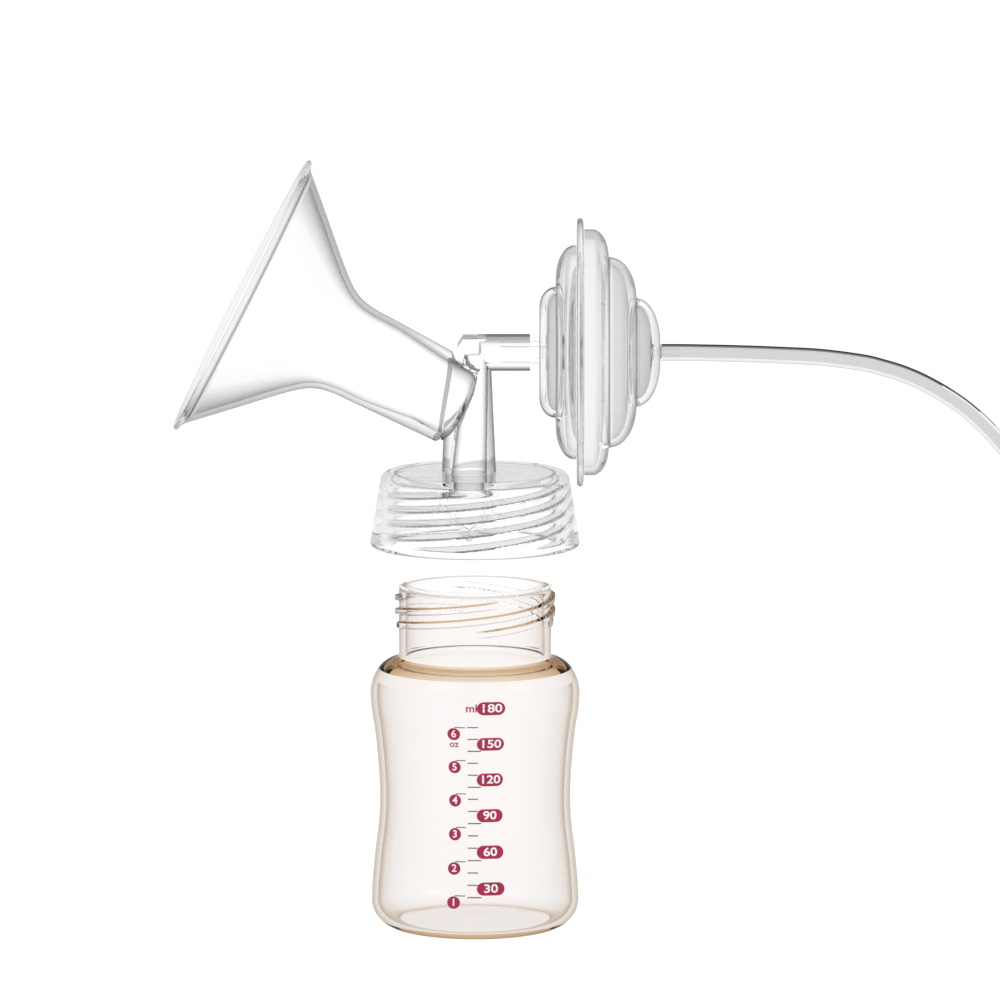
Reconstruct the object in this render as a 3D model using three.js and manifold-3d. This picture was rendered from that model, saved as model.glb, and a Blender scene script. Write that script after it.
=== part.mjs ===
// Wide-neck breast pump collection kit: a clear shield, body, duckbill valve and backflow
// protector with its air tube, held just above the graduated bottle that screws into it.
// Millimetres, +Z up, origin at the centre of the bottle's base. +X points to the air tube.

import * as THREE from 'three';
import { ConvexGeometry } from 'three/addons/geometries/ConvexGeometry.js';
import { mergeVertices } from 'three/addons/utils/BufferGeometryUtils.js';
import Module from 'manifold-3d';

const wasm = await Module();
wasm.setup();

// ---------------------------------------------------------------- driving dimensions

const GAP = 0.3; // between pieces that touch
const ROUND = 32; // sides of a full turn

const BOTTLE = {
  height: 110,
  wall: 2,
  baseRadius: 33.3, // at the lower bulge
  baseCorner: 9,
  waistRadius: 30.6,
  waistHeight: 44,
  shoulderRadius: 33.6, // at the upper bulge
  shoulderHeight: 74.5,
  neckRadius: 24.4,
  neckHeight: 87.5, // where the neck leaves the shoulder
};

const THREAD = {
  starts: 4,
  lead: 17.6,
  ridge: 1.3, // radius of a ridge's round section
  neckRadius: 24.5, // centre line of the neck's ridges
  neckFrom: 98,
  neckSweep: 200, // degrees covered by each ridge
  capRadius: 26.5, // centre line of the skirt's ridges
  capSweep: 270,
};

const SEAL = { thickness: 1.2, innerRadius: 21.4, outerRadius: 24.6 };

const CAP = {
  bottom: 123.4,
  top: 147.5,
  plate: 2.5,
  topRadius: 30.4,
  bottomRadius: 33.6,
  boreRadius: 26.5,
  topRound: 3,
};

const BODY = {
  tubeX: -1.9, // axis of the upright tube
  tubeRadius: 8.7,
  boreRadius: 5.7,
  roofX: 0.9,
  roofRadius: 3.9,
  roof: 190.8,
  roofWall: 2.3,
  spoutRadius: 7.6,
  spoutBottom: 139,
};

const PORT = { height: 185.8, radius: 5.9, bore: 3.5, end: 17.6 };

const SHIELD = {
  seatX: -8.6, // where the shield's axis meets the cup's mouth
  seatZ: 171,
  tilt: 26.9, // of the shield's axis above the horizontal, in degrees
  mouthTilt: 10, // of the cup's mouth from the vertical, in degrees
  rimRadius: 48,
  rimAt: 74.4, // along the axis, from the cup's mouth
  rimLip: 2.2,
  elbowAt: 41.8,
  elbowRadius: 15,
  tunnelRadius: 14.1, // at the cup's mouth
  wall: 1.8,
  spigotRadius: 12.4,
  spigotLength: 7,
  spigotWall: 1.6,
};

const VALVE = { sleeveRadius: 9.6, sleeveBottom: 136, tip: 126, slit: 0.6, lip: 1.1 };

// Backflow protector: each lobe is a quarter ellipse from its foot to its crown.
const BASE = {
  stemRadius: 3.2,
  stemBore: 1.9,
  stemStart: 8,
  collarRadius: 3.6,
  face: 20.5,
  lobes: [
    { radius: 14.4, crown: 20.9, at: 25.9, depth: 5.4 },
    { radius: 22.6, crown: 34.2, at: 31.6, depth: 5.9 },
  ],
  rim: 32.2,
  wall: 2,
};

const MEMBRANE = { from: 32.5, to: 34.6, radius: 42.9, domeRadius: 27.6, domeRise: 2.9, domeWall: 1.3 };

const LID = {
  rim: 34.9,
  lobes: [
    { crown: 39.3, radius: 30.9, at: 37.4, depth: 5.3 },
    { crown: 30.4, radius: 17.3, at: 43, depth: 8.6 },
    { crown: 17.2, radius: 3.2, at: 51.8, depth: 7.4 },
  ],
  wall: 2,
  bore: 1.4,
};

const AIR_TUBE = { diameter: 5.4, sides: 10, steps: 26, tailSteps: 4 };

const COIL = {
  x: 233,
  y: 28,
  bottom: 0.9, // the tie's lower strand lies under it
  innerRadius: 24.4,
  outerRadius: 35.6,
  height: 11,
};

const TIE = { angle: -60, width: 8, strand: 0.6 };

const CONNECTOR = { radius: 5.2, length: 15, shoulder: 7.5, nozzleRadius: 3.4, nozzleTip: 2.8, bore: 1.5 };

// ---------------------------------------------------------------- shape helpers

const radians = THREE.MathUtils.degToRad;
const flat = (r, z) => new THREE.Vector2(r, z);

/** A closed mesh as a manifold-3d solid. */
function solid(geometry) {
  const bare = geometry.clone();
  bare.deleteAttribute('normal');
  bare.deleteAttribute('uv');
  const merged = mergeVertices(bare, 1e-4);
  const corners = merged.index.array;
  const kept = [];
  for (let i = 0; i < corners.length; i += 3) {
    const [a, b, c] = [corners[i], corners[i + 1], corners[i + 2]];
    if (a !== b && b !== c && c !== a) kept.push(a, b, c);
  }
  const vertProperties = new Float32Array(merged.attributes.position.array);
  return new wasm.Manifold(new wasm.Mesh({ numProp: 3, vertProperties, triVerts: new Uint32Array(kept) }));
}

/** A manifold-3d solid as a geometry. */
function geometryOf(shape) {
  const { vertProperties, triVerts } = shape.getMesh();
  const geometry = new THREE.BufferGeometry();
  geometry.setAttribute('position', new THREE.BufferAttribute(new Float32Array(vertProperties), 3));
  geometry.setIndex(new THREE.BufferAttribute(new Uint32Array(triVerts), 1));
  return geometry;
}

/** Turns a profile of (radius, height) points about +Z, anticlockwise round its material. */
function turned(profile, sides = ROUND) {
  return new THREE.LatheGeometry(profile, sides).rotateX(Math.PI / 2);
}

/** The same profile turned about +X at the port's height. */
function turnedOnPort(profile, sides = ROUND) {
  return turned(profile, sides).rotateY(Math.PI / 2).translate(0, 0, PORT.height);
}

/** A profile moved sideways by a distance, to the left of its direction. */
function offset(profile, distance) {
  return profile.map((point, i) => {
    const before = profile[Math.max(i - 1, 0)];
    const after = profile[Math.min(i + 1, profile.length - 1)];
    const first = (i === 0 ? after.clone().sub(point) : point.clone().sub(before)).normalize();
    const second = (i === profile.length - 1 ? first.clone() : after.clone().sub(point)).normalize();
    const normal = flat(-first.y - second.y, first.x + second.x);
    const mitre = distance / (1 + first.dot(second));
    return point.clone().addScaledVector(normal, mitre);
  });
}

/** A closed profile again, ended on its first point. */
function closed(profile) {
  return [...profile, profile[0].clone()];
}

/** Points of a quarter ellipse from one angle to another, in degrees. */
function quarter(centre, radii, from, to, pieces = 3) {
  const curve = new THREE.EllipseCurve(
    centre.x, centre.y, radii.x, radii.y, radians(from), radians(to), from > to,
  );
  return curve.getPoints(pieces);
}

/** A plain tube or rod about +Z. */
function ring(outerRadius, innerRadius, bottom, top, sides = ROUND) {
  return turned(closed([
    flat(outerRadius, bottom),
    flat(outerRadius, top),
    flat(innerRadius, top),
    flat(innerRadius, bottom),
  ]), sides);
}

function rod(radius, bottom, top, sides = ROUND) {
  return turned([flat(0, bottom), flat(radius, bottom), flat(radius, top), flat(0, top)], sides);
}

class Helix extends THREE.Curve {
  constructor(radius, lead, from, sweep, height) {
    super();
    Object.assign(this, { radius, lead, from, sweep, height });
  }

  getPoint(t, target = new THREE.Vector3()) {
    const turn = this.sweep * t;
    return target.set(
      this.radius * Math.cos(this.from + turn),
      this.radius * Math.sin(this.from + turn),
      this.height + (this.lead * turn) / (2 * Math.PI),
    );
  }
}

/** A round section swept along a curve. */
function swept(curve, radius, sides, steps) {
  const section = new THREE.Shape(
    new THREE.EllipseCurve(0, 0, radius, radius, 0, 2 * Math.PI).getPoints(sides).slice(0, sides),
  );
  return new THREE.ExtrudeGeometry(section, { extrudePath: curve, steps, bevelEnabled: false });
}

/** The ridges of a multi-start right-hand thread, as a list of solids. */
function threadRidges(radius, bottom, sweepDegrees) {
  const sweep = radians(sweepDegrees);
  const steps = Math.round(sweepDegrees / 15);
  return Array.from({ length: THREAD.starts }, (_, start) => {
    const from = (2 * Math.PI * start) / THREAD.starts;
    const helix = new Helix(radius, THREAD.lead, from, sweep, bottom);
    return solid(swept(helix, THREAD.ridge, 5, steps));
  });
}

const group = new THREE.Group();

/** Adds one named sub-part with its own material. */
function piece(name, geometry, { color, roughness = 0.15, opacity = 1 }) {
  const material = new THREE.MeshStandardMaterial({
    color, roughness, metalness: 0, transparent: opacity < 1, opacity,
  });
  const mesh = new THREE.Mesh(geometry, material);
  mesh.name = name;
  group.add(mesh);
  return mesh;
}

const CLEAR = { color: 0xeef0f1, roughness: 0.08, opacity: 0.35 };
const SILICONE = { color: 0xe9ebec, roughness: 0.35, opacity: 0.6 };
const AMBER = { color: 0xf3dcc4, roughness: 0.08, opacity: 0.4 };
const WHITE = { color: 0xf2f2f2, roughness: 0.4 };

// ---------------------------------------------------------------- bottle

function bottleOutline() {
  const corner = BOTTLE.baseRadius - BOTTLE.baseCorner;
  const belly = new THREE.SplineCurve([
    flat(BOTTLE.baseRadius, BOTTLE.baseCorner),
    flat(BOTTLE.baseRadius - 0.8, 22),
    flat(BOTTLE.waistRadius, BOTTLE.waistHeight),
    flat(BOTTLE.shoulderRadius - 1.4, 65),
    flat(BOTTLE.shoulderRadius, BOTTLE.shoulderHeight),
  ]).getPoints(7);
  const shoulder = quarter(
    flat(BOTTLE.neckRadius + 1.6, BOTTLE.shoulderHeight),
    flat(BOTTLE.shoulderRadius - BOTTLE.neckRadius - 1.6, BOTTLE.neckHeight - BOTTLE.shoulderHeight),
    0, 90,
  );
  return [
    flat(0, 0),
    ...quarter(flat(corner, BOTTLE.baseCorner), flat(BOTTLE.baseCorner, BOTTLE.baseCorner), -90, 0),
    ...belly.slice(1),
    ...shoulder.slice(1),
    flat(BOTTLE.neckRadius, BOTTLE.neckHeight + 1.2),
    flat(BOTTLE.neckRadius, BOTTLE.height - 0.6),
    flat(BOTTLE.neckRadius - 0.6, BOTTLE.height),
  ];
}

function bottle() {
  const outside = bottleOutline();
  const inside = offset(outside.slice(0, -1), BOTTLE.wall).reverse();
  inside[inside.length - 1].x = 0;
  inside[0] = flat(BOTTLE.neckRadius - BOTTLE.wall, BOTTLE.height);
  let shape = solid(turned([...outside, ...inside]));
  for (const ridge of threadRidges(THREAD.neckRadius, THREAD.neckFrom, THREAD.neckSweep)) {
    shape = shape.add(ridge);
  }
  return geometryOf(shape);
}

piece('bottle', bottle(), AMBER);

const sealBottom = BOTTLE.height + GAP;
piece(
  'bottle_seal',
  ring(SEAL.outerRadius, SEAL.innerRadius, sealBottom, sealBottom + SEAL.thickness),
  SILICONE,
);

// ---------------------------------------------------------------- shield axis and cup mouth

const tilt = radians(SHIELD.tilt);
const mouthTilt = radians(SHIELD.mouthTilt);
const seat = new THREE.Vector3(SHIELD.seatX, 0, SHIELD.seatZ);
const outward = new THREE.Vector3(-Math.cos(tilt), 0, Math.sin(tilt));
const upward = new THREE.Vector3(Math.sin(tilt), 0, Math.cos(tilt));
const mouthNormal = new THREE.Vector3(-Math.cos(mouthTilt), 0, Math.sin(mouthTilt));

/** Turns a shape made about +Z onto the shield's axis, with its zero at the cup's mouth. */
function ontoShieldAxis(geometry) {
  return geometry.rotateY(tilt - Math.PI / 2).translate(seat.x, seat.y, seat.z);
}

/** Points round the shield's axis where a cylinder crosses a plane parallel to the mouth. */
function mouthRing(radius, depth, count = 28) {
  const planePoint = seat.clone().addScaledVector(mouthNormal, -depth);
  return Array.from({ length: count }, (_, i) => {
    const angle = (2 * Math.PI * i) / count;
    const point = seat.clone()
      .addScaledVector(upward, radius * Math.cos(angle))
      .add(new THREE.Vector3(0, radius * Math.sin(angle), 0));
    const along = planePoint.clone().sub(point).dot(mouthNormal) / outward.dot(mouthNormal);
    return point.addScaledVector(outward, along);
  });
}

/** Points of a level circle. */
function levelRing(x, radius, z, count = 28) {
  return Array.from({ length: count }, (_, i) => {
    const angle = (2 * Math.PI * i) / count;
    return new THREE.Vector3(x + radius * Math.cos(angle), radius * Math.sin(angle), z);
  });
}

/** Everything in front of the cup's mouth, from a clearance outwards. */
function beforeMouth(clearance) {
  const size = 300;
  const block = new THREE.BoxGeometry(size, size, size).translate(0, 0, size / 2 + clearance);
  return solid(block.rotateY(mouthTilt - Math.PI / 2).translate(seat.x, seat.y, seat.z));
}

// ---------------------------------------------------------------- pump body

function skirtAndPlate() {
  const outside = [
    flat(CAP.boreRadius + 1, CAP.bottom),
    flat(CAP.bottomRadius - 1.4, CAP.bottom),
    ...quarter(flat(CAP.bottomRadius - 1.4, CAP.bottom + 1.4), flat(1.4, 1.4), -90, 0, 3).slice(1),
    ...quarter(
      flat(CAP.topRadius - CAP.topRound, CAP.top - CAP.topRound),
      flat(CAP.topRound, CAP.topRound), 8, 90, 4,
    ),
    flat(BODY.boreRadius + 1, CAP.top),
    flat(BODY.boreRadius + 1, CAP.top - CAP.plate),
    flat(CAP.boreRadius, CAP.top - CAP.plate),
    flat(CAP.boreRadius, CAP.bottom + 1),
  ];
  let shape = solid(turned(closed(outside)));
  const rise = (THREAD.lead * THREAD.capSweep) / 360;
  const pitch = THREAD.lead / THREAD.starts;
  const lowest = CAP.top - CAP.plate - rise - 2 * THREAD.ridge - 0.4;
  const stepsUp = Math.floor((lowest - THREAD.neckFrom) / pitch - 0.5);
  const from = THREAD.neckFrom + (stepsUp + 0.5) * pitch; // half a pitch between the neck's ridges
  for (const ridge of threadRidges(THREAD.capRadius, from, THREAD.capSweep)) {
    shape = shape.add(ridge);
  }
  return shape;
}

function pumpBody() {
  const plateUnderside = CAP.top - CAP.plate;
  const fairing = new ConvexGeometry([
    ...mouthRing(SHIELD.tunnelRadius, 0),
    ...mouthRing(SHIELD.tunnelRadius, 1.5),
    ...levelRing(BODY.tubeX, BODY.tubeRadius, CAP.top - 0.5),
    ...levelRing(BODY.roofX, BODY.roofRadius, BODY.roof),
  ]);
  const cavity = new ConvexGeometry([
    ...mouthRing(SHIELD.spigotRadius - 0.8, 5),
    ...levelRing(BODY.tubeX, BODY.boreRadius, CAP.top),
    ...levelRing(BODY.roofX - 0.3, 3, BODY.roof - BODY.roofWall),
  ]);
  const socket = ontoShieldAxis(rod(SHIELD.spigotRadius + GAP, -SHIELD.spigotLength - GAP, 20));
  const spout = rod(BODY.spoutRadius, BODY.spoutBottom, CAP.top - 0.5).translate(BODY.tubeX, 0, 0);
  const bore = rod(BODY.boreRadius, BODY.spoutBottom - 1, CAP.top + 1).translate(BODY.tubeX, 0, 0);
  const port = rod(PORT.radius, BODY.roofX, PORT.end, 28).rotateY(Math.PI / 2).translate(0, 0, PORT.height);
  const portBore = rod(PORT.bore, BODY.roofX, PORT.end + 1, 28)
    .rotateY(Math.PI / 2)
    .translate(0, 0, PORT.height);
  const spoutRoot = rod(BODY.spoutRadius + 1.6, plateUnderside, CAP.top - 0.5).translate(BODY.tubeX, 0, 0);
  return geometryOf(
    skirtAndPlate()
      .add(solid(spoutRoot))
      .add(solid(fairing))
      .add(solid(port))
      .add(solid(spout))
      .subtract(solid(cavity))
      .subtract(solid(socket))
      .subtract(solid(bore))
      .subtract(solid(portBore)),
  );
}

piece('pump_body', pumpBody(), CLEAR);

// ---------------------------------------------------------------- breast shield

function shieldProfile() {
  const elbow = new THREE.QuadraticBezierCurve(
    flat(SHIELD.elbowRadius - 0.3, SHIELD.elbowAt - 12),
    flat(SHIELD.elbowRadius, SHIELD.elbowAt),
    flat(SHIELD.elbowRadius + 8, SHIELD.elbowAt + 9),
  ).getPoints(5);
  const outside = [
    flat(SHIELD.tunnelRadius, -SHIELD.spigotLength),
    ...elbow,
    flat(SHIELD.rimRadius - SHIELD.rimLip - 0.6, SHIELD.rimAt - SHIELD.rimLip - 0.4),
  ];
  const inside = offset(outside, SHIELD.wall).reverse();
  inside[0] = flat(SHIELD.rimRadius - 3.4, SHIELD.rimAt);
  const lip = [
    flat(SHIELD.rimRadius - 0.3, SHIELD.rimAt - SHIELD.rimLip),
    flat(SHIELD.rimRadius, SHIELD.rimAt - 0.6),
    flat(SHIELD.rimRadius - 0.5, SHIELD.rimAt),
  ];
  return closed([...outside, ...lip, ...inside]);
}

function breastShield() {
  const tunnelAndFunnel = solid(ontoShieldAxis(turned(shieldProfile()))).intersect(beforeMouth(GAP));
  const inner = SHIELD.spigotRadius - SHIELD.spigotWall;
  const spigot = ring(SHIELD.spigotRadius, inner, -SHIELD.spigotLength, 8);
  return geometryOf(tunnelAndFunnel.add(solid(ontoShieldAxis(spigot))));
}

piece('breast_shield', breastShield(), CLEAR);

// ---------------------------------------------------------------- duckbill valve

function duckbill(radius, top, bottom, lipThickness, sides = 24) {
  const tip = [-1, 1].flatMap((side) => [-1, 1].map((edge) => (
    new THREE.Vector3(BODY.tubeX + (side * lipThickness) / 2, edge * radius * 0.98, bottom)
  )));
  return new ConvexGeometry([...levelRing(BODY.tubeX, radius, top, sides), ...tip]);
}

function valve() {
  const top = CAP.top - CAP.plate - GAP;
  const sleeveInner = BODY.spoutRadius + GAP;
  const sleeve = rod(VALVE.sleeveRadius, VALVE.sleeveBottom, top, 24).translate(BODY.tubeX, 0, 0);
  const hollow = rod(sleeveInner, BODY.spoutBottom - GAP, top + 1, 24).translate(BODY.tubeX, 0, 0);
  const throat = rod(sleeveInner - 1, VALVE.sleeveBottom, top, 24).translate(BODY.tubeX, 0, 0);
  const bill = duckbill(VALVE.sleeveRadius, VALVE.sleeveBottom, VALVE.tip, VALVE.slit + 2 * VALVE.lip);
  const passage = duckbill(
    sleeveInner - 1, VALVE.sleeveBottom + 0.5, VALVE.tip - 0.5, VALVE.slit,
  );
  return geometryOf(
    solid(sleeve).add(solid(bill)).subtract(solid(hollow)).subtract(solid(throat)).subtract(solid(passage)),
  );
}

piece('duckbill_valve', valve(), SILICONE);

// ---------------------------------------------------------------- backflow protector

function backflowBase() {
  const [inner, outer] = BASE.lobes;
  const outside = [
    flat(BASE.collarRadius, BASE.face),
    ...quarter(flat(inner.radius, inner.at), flat(inner.crown - inner.radius, inner.depth), -90, 0),
    ...quarter(flat(outer.radius, outer.at), flat(outer.crown - outer.radius, outer.depth), -90, 0),
    flat(outer.crown, BASE.rim),
  ];
  const inside = offset(outside, BASE.wall).reverse();
  inside[0] = flat(outer.crown - BASE.wall, BASE.rim);
  inside[inside.length - 1] = flat(BASE.stemBore, BASE.face + BASE.wall);
  const stem = [
    flat(BASE.stemBore, BASE.stemStart),
    flat(BASE.stemRadius, BASE.stemStart),
    flat(BASE.stemRadius, PORT.end + GAP),
    flat(BASE.collarRadius, PORT.end + GAP),
  ];
  return turnedOnPort(closed([...outside, ...inside, ...stem]));
}

function membraneRim() {
  const edge = (MEMBRANE.to - MEMBRANE.from) / 2;
  const inner = MEMBRANE.domeRadius + GAP;
  return turnedOnPort(closed([
    flat(inner, MEMBRANE.from),
    ...quarter(flat(MEMBRANE.radius - edge, MEMBRANE.from + edge), flat(edge, edge), -90, 90, 4),
    flat(inner, MEMBRANE.to),
  ]));
}

function membraneDome() {
  const crown = MEMBRANE.from - 0.6 - MEMBRANE.domeRise;
  const front = new THREE.QuadraticBezierCurve(
    flat(0, crown),
    flat(MEMBRANE.domeRadius * 0.62, crown),
    flat(MEMBRANE.domeRadius, crown + MEMBRANE.domeRise),
  ).getPoints(4);
  const back = front.map((point) => flat(point.x, point.y + MEMBRANE.domeWall)).reverse();
  return turnedOnPort([...front, ...back]);
}

function backflowCap() {
  const outside = LID.lobes.flatMap((lobe) => quarter(
    flat(lobe.radius, lobe.at), flat(lobe.crown - lobe.radius, lobe.depth), 0, 90,
  ));
  outside.unshift(flat(LID.lobes[0].crown, LID.rim));
  const inside = offset(outside, LID.wall).reverse();
  inside[inside.length - 1] = flat(LID.lobes[0].crown - LID.wall, LID.rim);
  const end = outside[outside.length - 1].y;
  inside[0] = flat(LID.bore, end - LID.wall);
  return turnedOnPort(closed([...outside, flat(LID.bore, end), ...inside]));
}

piece('backflow_base', backflowBase(), CLEAR);
piece('membrane_rim', membraneRim(), SILICONE);
piece('membrane_dome', membraneDome(), SILICONE);
piece('backflow_cap', backflowCap(), CLEAR);

// ---------------------------------------------------------------- air tube and its coil

const outlet = LID.lobes[2].at + LID.lobes[2].depth + GAP;
const coilMiddle = COIL.outerRadius - AIR_TUBE.diameter / 2 - 0.2;
const coilEntryX = COIL.x - coilMiddle;
const floorHeight = COIL.bottom + AIR_TUBE.diameter / 2;

/** How far along the tube's line the coil's outline begins, from the coil's middle. */
const coilReach = Math.sqrt((COIL.outerRadius + GAP + 0.1) ** 2 - (coilMiddle - AIR_TUBE.diameter / 2) ** 2);

const route = [
  [outlet, 0, 185.8],
  [66, 0, 185.8],
  [72.5, 0, 185.7],
  [85.5, 0, 185.4],
  [98.5, 0, 184.9],
  [111, 0, 184.2],
  [123.8, 0, 182.5],
  [130, 0, 181],
  [136.5, 0, 179],
  [143, 0, 176.2],
  [149.5, 0, 172.6],
  [156, 0, 168.2],
  [162.2, 0, 162.8],
  [168, 0, 156.6],
  [175, -0.5, 147.4],
  [182, -2, 135.5],
  [188.5, -4.5, 121],
  [193.5, -8, 105],
  [197, -12, 88],
  [199.2, -15.8, 70],
  [200.2, -18.6, 52],
  [coilEntryX, -19.6, 38],
  [coilEntryX, -17.2, 24.5],
  [coilEntryX, -11.5, 13.5],
  [coilEntryX, -3.8, 6.4],
  [coilEntryX, COIL.y - coilReach - 6, floorHeight + 0.6],
  [coilEntryX, COIL.y - coilReach, floorHeight],
];

const tailX = COIL.x + coilMiddle;
const topLayer = COIL.bottom + COIL.height - AIR_TUBE.diameter / 2;
const tail = [
  [tailX, COIL.y - coilReach, topLayer - 0.2],
  [tailX + 0.4, COIL.y - coilReach - 10, topLayer - 1.5],
  [tailX + 1, COIL.y - coilReach - 22, CONNECTOR.radius + 0.6],
  [tailX + 1.2, COIL.y - coilReach - 34, CONNECTOR.radius + 0.1],
];

function cord(points, steps) {
  const curve = new THREE.CatmullRomCurve3(points.map((point) => new THREE.Vector3(...point)));
  return swept(curve, AIR_TUBE.diameter / 2, AIR_TUBE.sides, steps);
}

/** The loop that holds the coil's turns together. */
function tie() {
  const side = GAP + 0.4; // the loop is straight while the coil curves
  const low = COIL.innerRadius - side;
  const high = COIL.outerRadius + GAP;
  const top = COIL.bottom + COIL.height + GAP;
  const strand = TIE.strand;
  const loop = new THREE.Shape([
    flat(low - strand, 0),
    flat(high + strand, 0),
    flat(high + strand, top + strand),
    flat(low - strand, top + strand),
  ]);
  loop.holes.push(new THREE.Path([
    flat(low, strand),
    flat(low, top),
    flat(high, top),
    flat(high, strand),
  ]));
  return new THREE.ExtrudeGeometry(loop, { depth: TIE.width, bevelEnabled: false })
    .translate(0, 0, -TIE.width / 2)
    .rotateX(Math.PI / 2)
    .rotateZ(radians(TIE.angle))
    .translate(COIL.x, COIL.y, 0);
}

/** The plug that goes into the pump unit, lying on its side with its nozzle towards -Y. */
function pumpConnector() {
  const profile = closed([
    flat(CONNECTOR.bore, 0),
    flat(CONNECTOR.radius - 1.2, 0),
    flat(CONNECTOR.radius, 1.6),
    flat(CONNECTOR.radius, CONNECTOR.shoulder),
    flat(CONNECTOR.nozzleRadius, CONNECTOR.shoulder),
    flat(CONNECTOR.nozzleTip, CONNECTOR.length),
    flat(CONNECTOR.bore, CONNECTOR.length),
  ]);
  const [x, y] = tail[tail.length - 1];
  return turned(profile, 24).rotateX(Math.PI / 2).translate(x, y - GAP, CONNECTOR.radius + 0.1);
}

piece('air_tube', cord(route, AIR_TUBE.steps), SILICONE);
const coilTop = COIL.bottom + COIL.height;
piece(
  'tube_coil',
  ring(COIL.outerRadius, COIL.innerRadius, COIL.bottom, coilTop).translate(COIL.x, COIL.y, 0),
  SILICONE,
);
piece('tube_end', cord(tail, AIR_TUBE.tailSteps), SILICONE);
piece('tube_tie', tie(), WHITE);
piece('pump_connector', pumpConnector(), WHITE);

export default group;
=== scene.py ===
"""Looks of a wide-neck breast pump collection kit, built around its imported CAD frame.

Metres, +Z up, origin at the centre of the bottle's base. Outlines below are in millimetres, as
(radius, height) pairs that run anticlockwise round the material, and are turned about an axis.
"""
import math

import bmesh
import bpy
import numpy as np
from mathutils import Matrix, Vector


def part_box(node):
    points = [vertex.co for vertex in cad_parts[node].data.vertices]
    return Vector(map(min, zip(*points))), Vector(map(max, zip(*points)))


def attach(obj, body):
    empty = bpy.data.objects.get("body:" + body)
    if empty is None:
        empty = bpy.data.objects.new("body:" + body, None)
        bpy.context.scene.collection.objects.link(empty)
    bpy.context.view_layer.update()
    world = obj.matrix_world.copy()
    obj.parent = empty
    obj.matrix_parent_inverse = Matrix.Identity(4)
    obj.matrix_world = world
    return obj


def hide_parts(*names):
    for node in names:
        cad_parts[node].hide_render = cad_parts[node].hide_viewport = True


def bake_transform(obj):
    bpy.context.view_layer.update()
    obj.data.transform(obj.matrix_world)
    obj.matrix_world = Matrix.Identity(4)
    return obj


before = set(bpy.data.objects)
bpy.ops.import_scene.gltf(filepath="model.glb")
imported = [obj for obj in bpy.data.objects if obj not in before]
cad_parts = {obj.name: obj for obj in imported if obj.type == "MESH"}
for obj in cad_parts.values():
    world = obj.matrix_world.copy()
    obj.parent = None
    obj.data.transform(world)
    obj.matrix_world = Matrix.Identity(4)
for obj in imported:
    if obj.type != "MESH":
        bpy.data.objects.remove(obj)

MM = 0.001
ROUND = 160  # segments of a full turn
SHARP = math.radians(32)
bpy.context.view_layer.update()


def low_high(node):
    """A CAD node's lowest and highest corners, in millimetres."""
    low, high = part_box(node)
    return low / MM, high / MM


# ---------------------------------------------------------------- camera and stage

VIEW = {"x": 8, "z": 138.2, "elevation": 8, "distance": 3000, "width": 320, "sensor": 36}


def make_camera():
    """Looks along +Y and a little down, with a frame VIEW["width"] mm wide at the target."""
    tilt = math.radians(VIEW["elevation"])
    target = Vector((VIEW["x"], 0, VIEW["z"])) * MM
    away = Vector((0, -math.cos(tilt), math.sin(tilt)))
    data = bpy.data.cameras.new("camera")
    data.sensor_width = VIEW["sensor"]
    data.lens = VIEW["sensor"] * VIEW["distance"] / VIEW["width"]
    data.clip_end = 100
    camera = bpy.data.objects.new("camera", data)
    camera.location = target + away * VIEW["distance"] * MM
    camera.rotation_euler = (math.radians(90) - tilt, 0, 0)
    bpy.context.scene.collection.objects.link(camera)
    bpy.context.scene.camera = camera


make_camera()

# ---------------------------------------------------------------- mesh helpers


def shade_smooth(mesh):
    """Smooth faces with sharp edges where they meet at more than a small angle."""
    mesh.polygons.foreach_set("use_smooth", [True] * len(mesh.polygons))
    mesh.set_sharp_from_angle(angle=SHARP)


def link(name, vertices, faces, smooth=True):
    """A new mesh object from vertices in millimetres."""
    mesh = bpy.data.meshes.new(name)
    mesh.from_pydata((np.asarray(vertices, float) * MM).tolist(), [], [list(f) for f in faces])
    mesh.validate()
    if smooth:
        shade_smooth(mesh)
    mesh.update()
    piece = bpy.data.objects.new(name, mesh)
    bpy.context.scene.collection.objects.link(piece)
    return piece


def arc(centre, radii, start, end, pieces=10):
    """Points of an ellipse's arc, from one angle to another in degrees."""
    angles = np.radians(np.linspace(start, end, pieces + 1))
    return np.column_stack([
        centre[0] + radii[0] * np.cos(angles),
        centre[1] + radii[1] * np.sin(angles),
    ])


def run(*parts):
    """One outline from points and arcs."""
    return np.vstack([np.atleast_2d(np.asarray(part, float)) for part in parts])


def line(start, end, pieces):
    """Evenly spaced points from one to another."""
    return np.linspace(start, end, pieces + 1)


def smooth_line(points, pieces=12):
    """A Catmull-Rom curve through points."""
    points = [np.asarray(p, float) for p in points]
    ends = [2 * points[0] - points[1], *points, 2 * points[-1] - points[-2]]
    out = []
    for a, b, c, d in zip(ends, ends[1:], ends[2:], ends[3:]):
        for t in np.arange(pieces) / pieces:
            out.append(0.5 * (
                2 * b + (c - a) * t + (2 * a - 5 * b + 4 * c - d) * t ** 2
                + (3 * b - a - 3 * c + d) * t ** 3
            ))
    out.append(points[-1])
    return np.array(out)


def inward(outline, distance):
    """An outline moved to the left of its direction, with its corners mitred."""
    steps = np.diff(outline, axis=0)
    steps /= np.linalg.norm(steps, axis=1, keepdims=True)
    before = np.vstack([steps[:1], steps])
    after = np.vstack([steps, steps[-1:]])
    normal = np.column_stack([-(before + after)[:, 1], (before + after)[:, 0]])
    mitre = distance / np.maximum(1 + (before * after).sum(1), 0.4)
    return outline + normal * mitre[:, None]


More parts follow.
